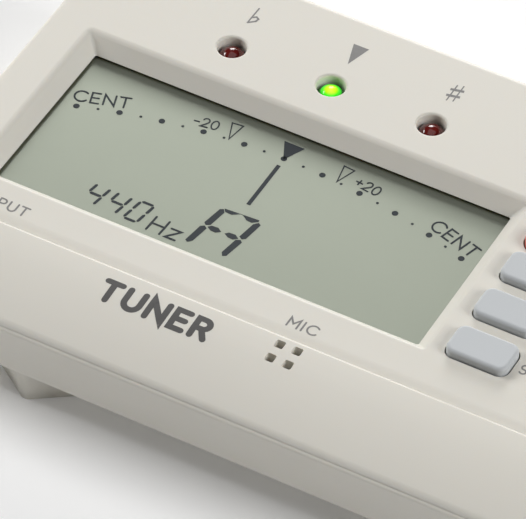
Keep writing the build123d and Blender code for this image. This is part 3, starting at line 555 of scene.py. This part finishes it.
def draw_tune_mark(bm, z0, z1):
    x, y = LAMP_MID["in_tune"].x, LAMP_MID["in_tune"].y
    slab(bm, [(x - 1.15, y + 8.6), (x, y + 4.7), (x + 1.15, y + 8.6)], z0, z1)


def draw_sharp_sign(bm, z0, z1):
    x, y = LAMP_MID["sharp"].x, LAMP_MID["sharp"].y + 6.8
    for side in (-1, 1):
        post_x, rise = x + side * 0.42, side * 0.12
        stroke(bm, [(post_x, y - 1.6 + rise), (post_x, y + 1.6 + rise)], 0.18, z0, z1)
        bar_y = y + side * 0.62
        bar = [(x - 0.92, bar_y - 0.2), (x + 0.92, bar_y + 0.2)]
        stroke(bm, bar, 0.42, z0, z1 + CROSSING_LIFT, round_ends=False)


SOUND_HOLES_MID = middle_mm("microphone")


def draw_microphone_label(bm, z0, z1):
    write(bm, "MIC", 1.6, 0.25, z0, z1, shifted(SOUND_HOLES_MID.x - 0.35, SOUND_HOLES_MID.y + 5.85), gap=0.4)


def draw_input_label(bm, z0, z1):
    write(bm, "INPUT", 1.55, 0.25, z0, z1, shifted(GLASS_MID.x - 26.35, GLASS_MID.y - 18.6), gap=0.36)


KEY_LABELS = {"power": "POWER", "calib": "CALIB", "note": "NOTE", "sound": "SOUND"}


def draw_key_labels(bm, z0, z1):
    for key, text in KEY_LABELS.items():
        low, high = box_mm(f"key_{key}")
        half = text_width(text, 0.34) * 1.5 / 2
        write(bm, text, 1.5, 0.24, z0, z1, shifted(high.x + 0.6 + half, (low.y + high.y) / 2), gap=0.34)


def draw_name(bm, z0, z1):
    write(bm, "TUNER", 3.0, 0.85, z0, z1, shifted(GLASS_MID.x, -25.6), gap=0.42, step=0.5)


printed_piece("print_flat_sign", draw_flat_sign, PRINT_GREY)
printed_piece("print_tune_mark", draw_tune_mark, PRINT_GREY)
printed_piece("print_sharp_sign", draw_sharp_sign, PRINT_GREY)
printed_piece("print_microphone_label", draw_microphone_label, PRINT_GREY)
printed_piece("print_input_label", draw_input_label, PRINT_GREY)
printed_piece("print_key_labels", draw_key_labels, PRINT_GREY)
printed_piece("print_tuner_word", draw_name, PRINT_DARK)


# ------------------------------------------------------------------ studio
FLOOR_GLOW = 0.09        # keeps the floor pale where the lights are low


def make_floor():
    mesh = bpy.data.meshes.new("studio_floor")
    half = 3.0
    corners = [(-half, -half, 0), (half, -half, 0), (half, half, 0), (-half, half, 0)]
    mesh.from_pydata(corners, [], [(0, 1, 2, 3)])
    floor = bpy.data.objects.new("studio_floor", mesh)
    bpy.context.scene.collection.objects.link(floor)
    material = finish_with("pale_studio_floor", (0.92, 0.92, 0.92), 0.9, spread=0.005, patch=3, grain=300,
                           Emission_Color=(1, 1, 1, 1), Emission_Strength=FLOOR_GLOW)
    mesh.materials.append(material)


def add_area_light(name, azimuth, elevation, distance, size, power, colour=(1, 1, 1)):
    """Soft light at an azimuth from +Y turning to +X, aimed at the middle of the object."""
    light = bpy.data.lights.new(name, "AREA")
    light.shape = "SQUARE"
    light.size = size
    light.energy = power
    light.color = colour
    lamp = bpy.data.objects.new(name, light)
    a, e = radians(azimuth), radians(elevation)
    away = Vector((sin(a) * cos(e), cos(a) * cos(e), sin(e)))
    lamp.location = away * distance
    lamp.rotation_euler = away.to_track_quat("Z", "Y").to_euler()
    bpy.context.scene.collection.objects.link(lamp)


def make_lights():
    world = bpy.data.worlds.new("studio_world")
    world.use_nodes = True
    background = world.node_tree.nodes["Background"]
    background.inputs["Color"].default_value = (1.0, 0.99, 0.98, 1)
    background.inputs["Strength"].default_value = 0.02
    bpy.context.scene.world = world
    add_area_light("low_back_light", -15, 12, 1.2, 0.5, 5.8, (1.0, 0.99, 0.97))
    add_area_light("left_light", -90, 30, 1.2, 0.5, 9.2)
    add_area_light("right_light", 90, 30, 1.2, 0.6, 9.0)
    add_area_light("top_light", 0, 85, 1.4, 1.2, 3.1)
    # the satin display face mirrors this one towards the camera, so the face is pale from there only
    add_area_light("display_light", -27.6, 26, 1.2, 0.35, 3.2)


def make_camera():
    azimuth, elevation, roll = radians(27.58), radians(45.47), radians(1.48)
    target = Vector((-4.83, -11.09, 18.0)) * MM
    distance = 684.7 * MM
    camera = bpy.data.cameras.new("camera")
    camera.sensor_fit = "HORIZONTAL"
    camera.sensor_width = 36.0
    camera.lens = 365.4
    holder = bpy.data.objects.new("camera", camera)
    back = Vector((sin(azimuth) * cos(elevation), -cos(azimuth) * cos(elevation), sin(elevation)))
    holder.location = target + back * distance
    turn = Euler((0, 0, azimuth)).to_matrix() @ Euler((pi / 2 - elevation, 0, 0)).to_matrix()
    holder.rotation_euler = (turn @ Euler((0, 0, roll)).to_matrix()).to_euler()
    bpy.context.scene.collection.objects.link(holder)
    bpy.context.scene.camera = holder


make_floor()
make_lights()
make_camera()
bpy.context.scene.view_settings.view_transform = "Standard"
